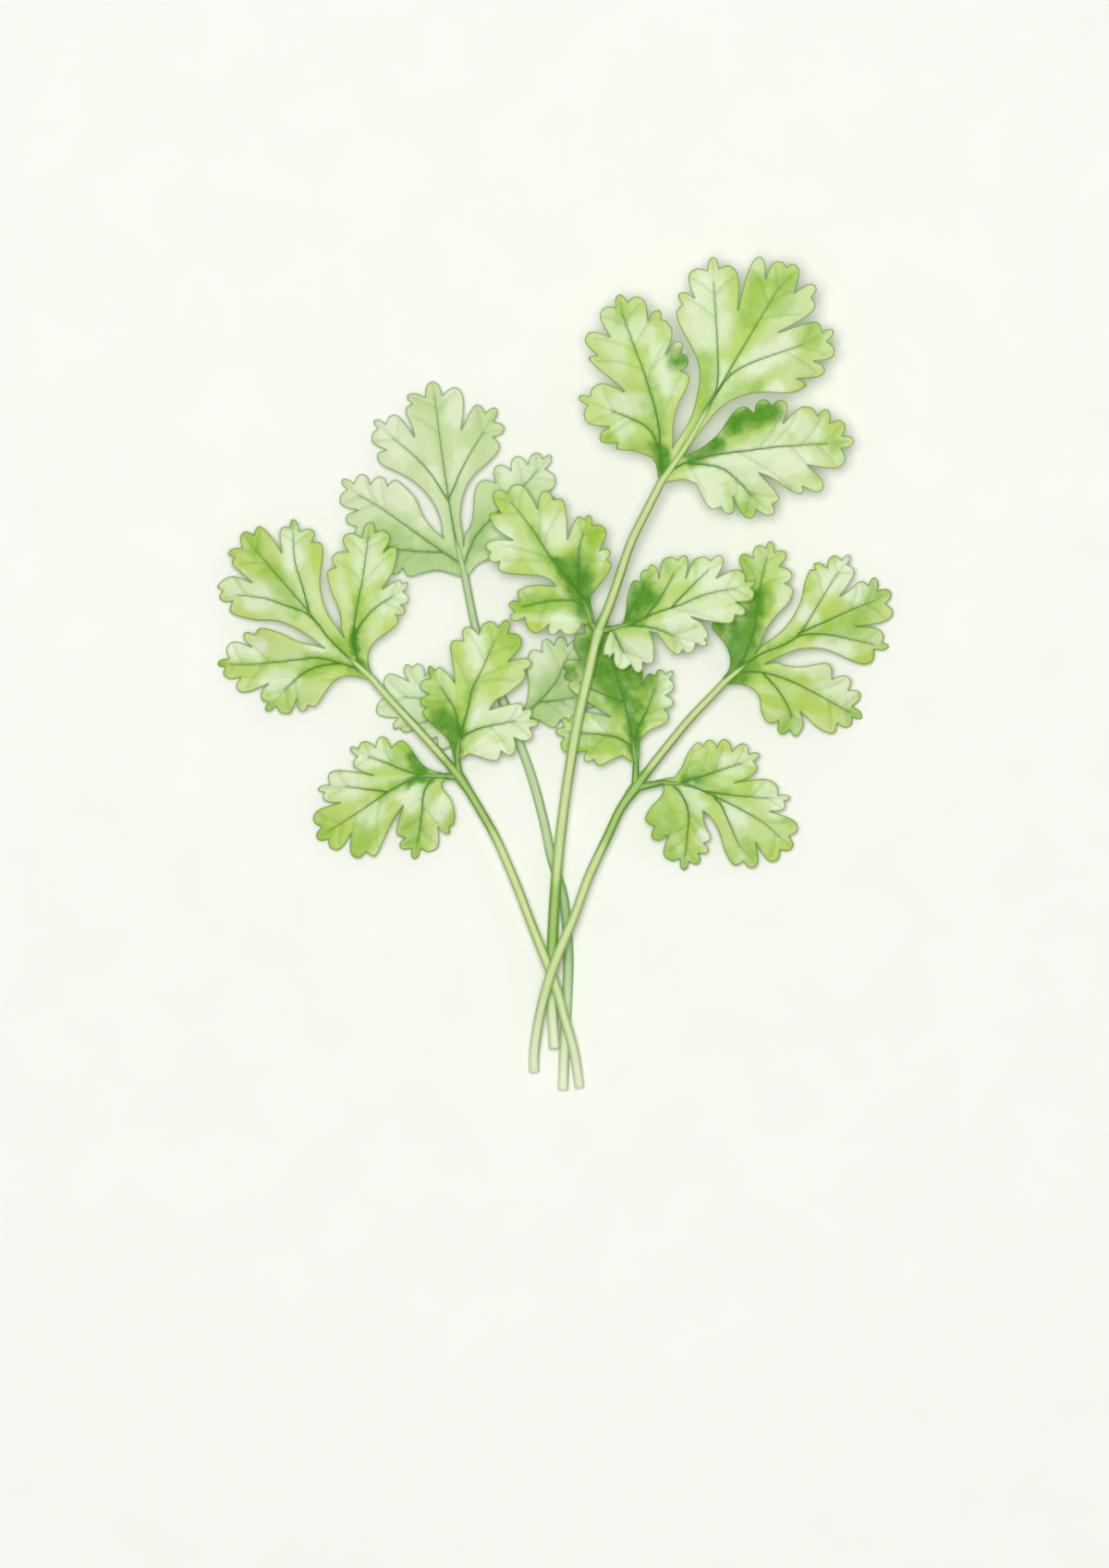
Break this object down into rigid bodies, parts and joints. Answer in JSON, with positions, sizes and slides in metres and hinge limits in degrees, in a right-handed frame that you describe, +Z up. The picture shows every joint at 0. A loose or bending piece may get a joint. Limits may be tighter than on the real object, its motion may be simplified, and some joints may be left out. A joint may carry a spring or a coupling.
{
  "type": "coriander bunch",
  "caption": "Cut coriander sprigs with toothed, lobed leaves, lying loosely crossed on a flat surface.",
  "frame": {"origin": "middle of the bunch's box in plan, on the surface that it lies on", "axes": "+Z up from the surface, +Y along the sprigs from the cut ends towards the leaves, +X to the right seen from above"},
  "size_m": [0.1466, 0.1804, 0.0187],
  "materials": {
    "stalk": "fresh pale green stalk, satin",
    "leaf": "fresh bright green leaf, satin",
    "leaf_back": "fresh greyer green leaf, satin"
  },
  "bodies": {
    "root": {"stalk_left": "stalk", "stalk_back": "stalk", "stalk_centre": "stalk", "stalk_right": "stalk", "leaf_left_top": "leaf", "leaf_left_inner": "leaf", "leaf_left_outer": "leaf", "leaf_back_top": "leaf_back", "leaf_back_left": "leaf_back", "leaf_back_right": "leaf_back", "leaf_centre_top": "leaf", "leaf_centre_left": "leaf", "leaf_centre_right": "leaf", "leaf_right_top": "leaf", "leaf_right_inner": "leaf", "leaf_right_outer": "leaf"}
  },
  "joints": []
}
